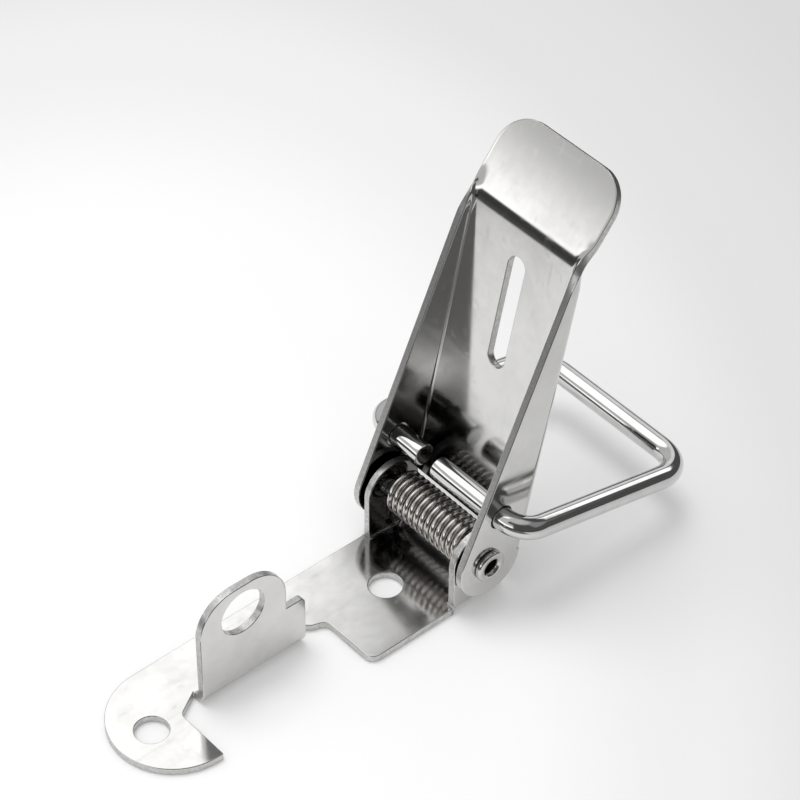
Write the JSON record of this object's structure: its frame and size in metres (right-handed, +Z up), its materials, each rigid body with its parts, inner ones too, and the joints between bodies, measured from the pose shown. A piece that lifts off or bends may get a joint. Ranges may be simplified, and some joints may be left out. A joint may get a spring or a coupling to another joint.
{
  "type": "over centre toggle latch",
  "caption": "Folded stainless over centre toggle latch with a wire bail, a sprung lever on a hollow rivet, and an upright padlock tab that passes through a slot in the closed lever.",
  "frame": {"origin": "midpoint between the two mounting holes, on the underside of the base plate", "axes": "+X along the base plate, from its rounded end toward the pivot and the bail; +Y across the plate; +Z up from the mounting face"},
  "size_m": [0.1, 0.0374, 0.0687],
  "materials": {
    "sheet": "bright rolled stainless",
    "rivet": "bright stainless",
    "spring_wire": "drawn stainless wire",
    "bail_wire": "polished stainless wire"
  },
  "bodies": {
    "base": {"base_plate": "sheet", "pivot_rivet": "rivet", "torsion_spring": "spring_wire"},
    "lever": {"lever": "sheet"},
    "bail": {"bail": "bail_wire"}
  },
  "joints": [
    {"name": "lever_pivot", "type": "hinge", "parent": "base", "child": "lever", "pos_m": [0.03215, 0, 0.0091], "axis": [0, -1, 0], "range_deg": [0, 112.5], "stiffness_Nm_per_rad": 0.047, "springref_deg": -5.73, "deforming": ["torsion_spring"]},
    {"name": "bail_pivot", "type": "hinge", "parent": "lever", "child": "bail", "pos_m": [0.03468, 0, 0.01745], "axis": [0, -1, 0], "range_deg": [-120, 58]}
  ]
}
